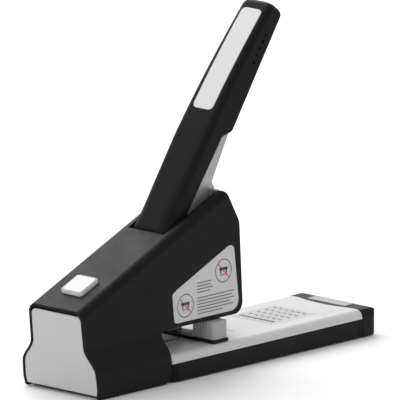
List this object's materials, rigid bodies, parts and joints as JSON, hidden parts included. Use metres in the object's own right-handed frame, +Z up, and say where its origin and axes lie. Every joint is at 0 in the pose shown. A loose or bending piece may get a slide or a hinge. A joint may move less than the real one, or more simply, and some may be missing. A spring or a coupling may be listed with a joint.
{
  "type": "long reach stapler",
  "caption": "Desk stapler with a long flat base, wedge housing over a deep paper throat, tall pressing lever, sliding paper guide and front-loading magazine.",
  "frame": {"origin": "on the table surface under the middle of the whole object's outline, on its middle plane", "axes": "+X forward along the base towards the end cap, +Y to the left, +Z up"},
  "size_m": [0.3133, 0.078, 0.2666],
  "materials": {
    "black_plastic": "fine grained satin moulding",
    "grip_plastic": "fine grained satin moulding",
    "white_steel": "smooth white powder coat",
    "grey_panel": "light grey satin moulding",
    "cover_grey": "mid grey satin moulding",
    "white_plastic": "white semi-gloss moulding",
    "label_paper": null,
    "nameplate": "blank brushed plate",
    "zinc_steel": "zinc plated pressed steel",
    "bright_steel": "ground and polished pins",
    "spring_steel": "drawn spring wire",
    "staple_wire": "galvanised flat wire",
    "rubber": "matt rubber",
    "guide_grey": "grey satin moulding",
    "nylon": "natural nylon",
    "screw_black": "blackened screws"
  },
  "bodies": {
    "base": {"base_tray": "black_plastic", "base_plate": "white_steel", "front_cap": "black_plastic", "cap_nameplate": "nameplate", "size_chart": "label_paper", "anvil_plate": "bright_steel", "anvil_rivets": "zinc_steel", "rubber_feet": "rubber", "base_screws": "zinc_steel", "chassis_floor": "zinc_steel", "left_side_plate": "zinc_steel", "right_side_plate": "zinc_steel", "chassis_spacers": "bright_steel", "housing_shell": "black_plastic", "rear_panel": "grey_panel", "front_cover": "cover_grey", "housing_screws": "screw_black", "info_label": "label_paper", "lever_pivot_pin": "bright_steel", "pivot_clips": "spring_steel", "pivot_bushes": "nylon", "head_return_spring": "spring_steel", "button_bracket": "zinc_steel", "button_spring": "spring_steel"},
    "lever": {"lever_channel": "zinc_steel", "lever_grip": "grip_plastic", "grip_inlay": "white_plastic", "grip_screws": "zinc_steel", "roller_pin": "bright_steel"},
    "roller": {"press_roller": "bright_steel"},
    "head": {"head_frame": "zinc_steel", "head_guide_pins": "bright_steel", "head_cross_pin": "bright_steel", "driver_spring": "spring_steel"},
    "driver": {"driver_plunger": "zinc_steel", "driver_blade": "bright_steel", "driver_rivets": "zinc_steel"},
    "magazine": {"magazine_tray": "zinc_steel", "magazine_core": "zinc_steel", "magazine_front": "black_plastic", "staple_strip": "staple_wire", "pusher_rod": "bright_steel", "pusher_spring": "spring_steel"},
    "pusher": {"staple_pusher": "zinc_steel"},
    "release": {"release_button": "white_plastic", "button_stem": "zinc_steel"},
    "paper_guide": {"guide_plate": "black_plastic", "left_guide_block": "guide_grey", "right_guide_block": "guide_grey", "guide_shoe": "zinc_steel", "guide_rivets": "zinc_steel"}
  },
  "joints": [
    {"name": "lever_hinge", "type": "hinge", "parent": "base", "child": "lever", "pos_m": [-0.01525, 0, 0.113], "axis": [0, 1, 0], "range_deg": [0, 37], "stiffness_Nm_per_rad": 1.2, "springref_deg": -28.65},
    {"name": "roller_spin", "type": "hinge", "parent": "lever", "child": "roller", "pos_m": [0.00455, 0, 0.1198], "axis": [0, 1, 0], "continuous": true},
    {"name": "head_slide", "type": "slide", "parent": "base", "child": "head", "axis": [0, 0, -1], "range_m": [0, 0.0107], "stiffness_N_per_m": 500, "springref_m": -0.016, "deforming": ["head_return_spring"]},
    {"name": "driver_slide", "type": "slide", "parent": "head", "child": "driver", "axis": [0, 0, -1], "range_m": [0, 0.0027], "stiffness_N_per_m": 300, "springref_m": -0.006, "deforming": ["driver_spring"]},
    {"name": "magazine_slide", "type": "slide", "parent": "head", "child": "magazine", "axis": [1, 0, 0], "range_m": [0, 0.095]},
    {"name": "pusher_slide", "type": "slide", "parent": "magazine", "child": "pusher", "axis": [1, 0, 0], "range_m": [-0.04, 0], "stiffness_N_per_m": 40, "springref_m": 0.04, "deforming": ["pusher_spring"]},
    {"name": "button_press", "type": "slide", "parent": "base", "child": "release", "axis": [0.3955, 0, -0.9184], "range_m": [0, 0.0022], "stiffness_N_per_m": 600, "springref_m": -0.004, "deforming": ["button_spring"]},
    {"name": "guide_slide", "type": "slide", "parent": "base", "child": "paper_guide", "axis": [1, 0, 0], "range_m": [-0.044, 0.004]}
  ],
  "couplings": [
    {"joint": "head_slide", "follows": "lever_hinge", "m_per_rad": 0.016414},
    {"joint": "driver_slide", "follows": "lever_hinge", "m_per_rad": 0.004026}
  ]
}
